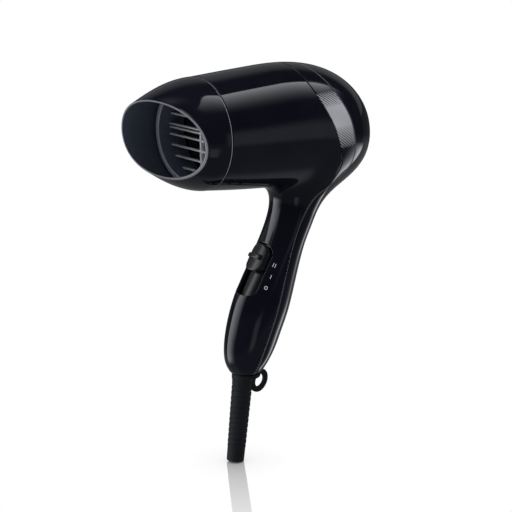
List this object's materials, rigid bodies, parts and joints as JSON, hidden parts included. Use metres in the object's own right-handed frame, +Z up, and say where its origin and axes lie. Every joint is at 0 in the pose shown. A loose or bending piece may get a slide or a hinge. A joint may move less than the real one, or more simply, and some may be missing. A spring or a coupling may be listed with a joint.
{
  "type": "travel hair dryer",
  "caption": "Compact hair dryer: round barrel with a rear dome, raked grip, slanted turning air nozzle, sliding thumb switch and a cord boot with a hanging loop.",
  "frame": {"origin": "under the middle of the dryer, level with the end of the cord boot", "axes": "+X along the barrel, back to the rear dome; the nozzle points to -X; +Z up, with the grip hanging down; +Y across the dryer"},
  "size_m": [0.1699, 0.07, 0.248],
  "materials": {
    "gloss_shell": "polished black with a cool tint",
    "gloss_nozzle": "polished black with a cool tint",
    "silver_trim": "satin silver with a fine diagonal hatch",
    "satin_black": "satin",
    "heat_plastic": "glass-filled, satin",
    "soft_rubber": "matte",
    "white_plastic": "satin",
    "brass_contact": "stamped",
    "steel": "bright",
    "ferrite": "sintered",
    "winding": "enamelled copper on steel",
    "mica": "pressed mica sheet",
    "red_insulation": "smooth",
    "blue_insulation": "smooth"
  },
  "bodies": {
    "body": {"front_housing": "gloss_shell", "rear_housing": "gloss_shell", "trim_band": "silver_trim", "outlet_grille": "heat_plastic", "intake_filter": "satin_black", "cord_boot": "soft_rubber", "switch_track": "satin_black", "switch_base": "heat_plastic", "switch_terminal_off": "brass_contact", "switch_terminal_low": "brass_contact", "switch_terminal_high": "brass_contact", "motor_mount": "heat_plastic", "motor_can": "steel", "motor_end_cap": "white_plastic", "motor_magnet_near": "ferrite", "motor_magnet_far": "ferrite", "rectifier_board": "mica", "heater_tube": "mica", "heater_board_upright": "mica", "heater_board_level": "mica", "heater_coil": "steel", "thermal_cutout": "white_plastic", "thermal_fuse": "steel", "lead_live": "red_insulation", "lead_neutral": "blue_insulation", "capacitor": "white_plastic", "cord_clamp": "white_plastic", "clamp_screw_near": "steel", "clamp_screw_far": "steel", "housing_screw_upper": "steel", "housing_screw_lower": "steel"},
    "nozzle": {"nozzle": "gloss_nozzle"},
    "switch": {"switch_knob": "satin_black", "switch_slider": "white_plastic"},
    "rotor": {"motor_shaft": "steel", "motor_armature": "winding", "fan_impeller": "satin_black"}
  },
  "joints": [
    {"name": "nozzle_turn", "type": "hinge", "parent": "body", "child": "nozzle", "pos_m": [-0.0394, 0, 0.2116], "axis": [1, 0, 0], "continuous": true},
    {"name": "switch_slide", "type": "slide", "parent": "body", "child": "switch", "axis": [0.5184, 0, 0.8551], "range_m": [-0.014, 0]},
    {"name": "rotor_spin", "type": "hinge", "parent": "body", "child": "rotor", "pos_m": [0.0206, 0, 0.2116], "axis": [1, 0, 0], "continuous": true}
  ]
}
